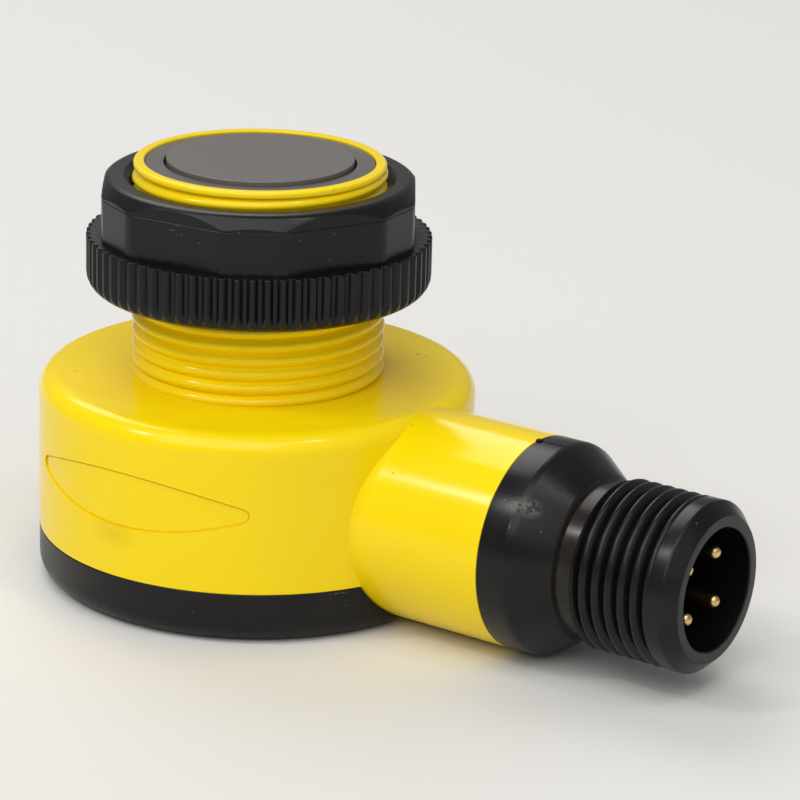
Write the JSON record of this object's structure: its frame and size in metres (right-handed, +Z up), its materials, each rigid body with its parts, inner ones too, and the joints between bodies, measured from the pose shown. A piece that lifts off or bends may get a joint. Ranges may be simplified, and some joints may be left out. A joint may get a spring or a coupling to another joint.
{
  "type": "photoelectric sensor",
  "caption": "Round through-beam sensor with a threaded nose and jam nut on top and a plug connector at its side.",
  "frame": {"origin": "on the nose's axis, in the plane of the underside", "axes": "+Z up the nose, +X out along the connector"},
  "size_m": [0.0539, 0.031, 0.0304],
  "materials": {
    "yellow_housing": "moulded plastic, glossy",
    "black_cover": "moulded plastic, satin",
    "black_bezel": "moulded plastic, satin",
    "window_filter": "infrared-passing dark plastic, satin face",
    "seal_rubber": "moulded rubber",
    "black_tube": "light-trap black",
    "clear_lens": "polished clear lens",
    "tinted_diode": "tinted epoxy",
    "green_board": "solder-masked glass epoxy",
    "header_plastic": "moulded header",
    "package_epoxy": "moulded epoxy",
    "can_aluminium": "drawn aluminium can",
    "black_nut": "moulded plastic, satin, lightly scuffed",
    "black_connector": "moulded plastic, satin",
    "gold_contact": "gold-plated brass",
    "wire_brown": "insulation",
    "wire_white": "insulation",
    "wire_blue": "insulation",
    "wire_black": "insulation"
  },
  "bodies": {
    "sensor": {"housing": "yellow_housing", "base_cover": "black_cover", "window_bezel": "black_bezel", "lens_window": "window_filter", "window_seal": "seal_rubber", "lens_tube": "black_tube", "focus_lens": "clear_lens", "emitter_diode": "tinted_diode", "emitter_board": "green_board", "board_header": "header_plastic", "main_board": "green_board", "driver_chip": "package_epoxy", "voltage_regulator": "package_epoxy", "filter_capacitor": "can_aluminium", "protection_diode": "package_epoxy", "connector_shell": "black_connector", "connector_seal": "seal_rubber", "contact_carrier": "black_connector", "contact_pin_1": "gold_contact", "contact_pin_2": "gold_contact", "contact_pin_3": "gold_contact", "contact_pin_4": "gold_contact", "lead_wire_1": "wire_brown", "lead_wire_2": "wire_white", "lead_wire_3": "wire_blue", "lead_wire_4": "wire_black"},
    "jam_nut": {"jam_nut": "black_nut"}
  },
  "joints": [
    {"name": "nut_travel", "type": "slide", "parent": "sensor", "child": "jam_nut", "axis": [0, 0, 1], "range_m": [-0.00605, 0.0081]}
  ]
}
